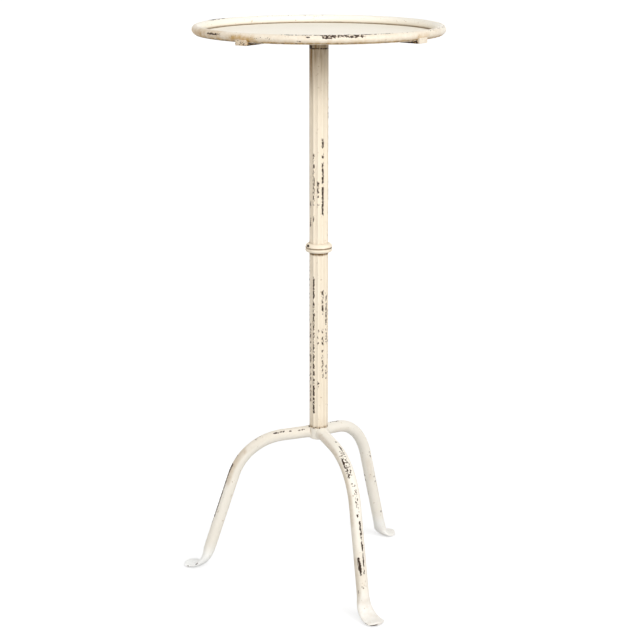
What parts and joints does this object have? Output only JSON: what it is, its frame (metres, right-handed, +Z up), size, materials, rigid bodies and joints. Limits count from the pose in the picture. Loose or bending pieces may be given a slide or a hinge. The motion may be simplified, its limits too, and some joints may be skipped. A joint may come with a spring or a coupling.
{
  "type": "wine table",
  "caption": "Slim round-topped drinks table in distressed cream painted iron: shallow rimmed tray, fluted column with a ringed middle joint and splayed tripod legs with spoon feet.",
  "frame": {"origin": "centre of the tray sheet's top face, on the column axis; nothing solid lies on the axis at ground level, where the three soles are at z = -0.698 m", "axes": "+Z up along the column, -Y towards the side the picture was taken from, +X to that viewer's right"},
  "size_m": [0.3294, 0.3183, 0.708],
  "materials": {
    "tray_paint": "cream paint, satin, slightly worn",
    "rim_paint": "cream paint with brown glaze, chipped along the crest",
    "column_paint": "cream paint with brown glaze in the flutes, chipped along the ridges",
    "leg_paint": "cream paint, chipped through to dark iron",
    "plated_steel": "dull plated threads",
    "mill_steel": "bare mill steel"
  },
  "bodies": {
    "root": {"tray_sheet": "tray_paint", "rim_hoop": "rim_paint", "strap_lower": "rim_paint", "strap_upper": "rim_paint", "top_boss": "column_paint", "upper_tube": "column_paint", "lower_tube": "column_paint", "upper_ring": "column_paint", "lower_ring": "column_paint", "hub": "leg_paint", "leg_left": "leg_paint", "leg_front": "leg_paint", "leg_rear": "leg_paint", "top_stud": "plated_steel", "joining_stud": "plated_steel", "base_screw": "plated_steel", "upper_tube_top_plug": "mill_steel", "upper_tube_bottom_plug": "mill_steel", "lower_tube_top_plug": "mill_steel", "lower_tube_bottom_plug": "mill_steel"}
  },
  "joints": []
}
